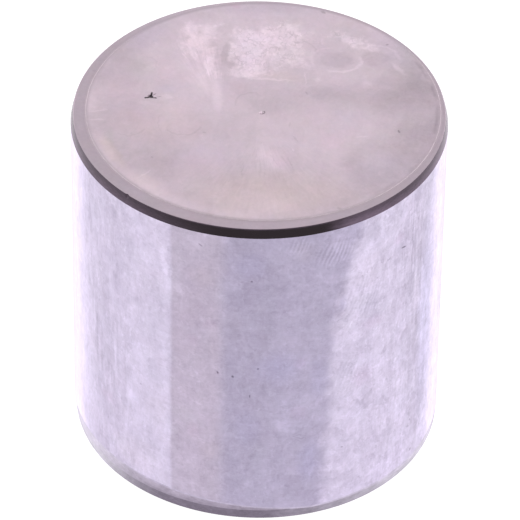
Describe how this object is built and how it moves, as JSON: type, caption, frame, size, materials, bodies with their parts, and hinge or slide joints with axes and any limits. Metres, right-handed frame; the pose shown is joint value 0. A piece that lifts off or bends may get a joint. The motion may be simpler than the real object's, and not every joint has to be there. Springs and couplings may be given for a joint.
{
  "type": "valve shim",
  "caption": "Closed-top cylindrical steel cup that sits upside down over a valve stem end and sets valve clearance by the thickness of its crown.",
  "frame": {"origin": "centre of the rim that the shim stands on, at its lowest level", "axes": "+Z along the shim's axis from the open rim up to the ground working face; the picture looks along +Y with +X to the right"},
  "size_m": [0.01, 0.01, 0.01],
  "materials": {
    "hardened_steel": "satin, scuffed skirt, ground face and dark edge bevel"
  },
  "bodies": {
    "root": {"valve_shim": "hardened_steel"}
  },
  "joints": []
}
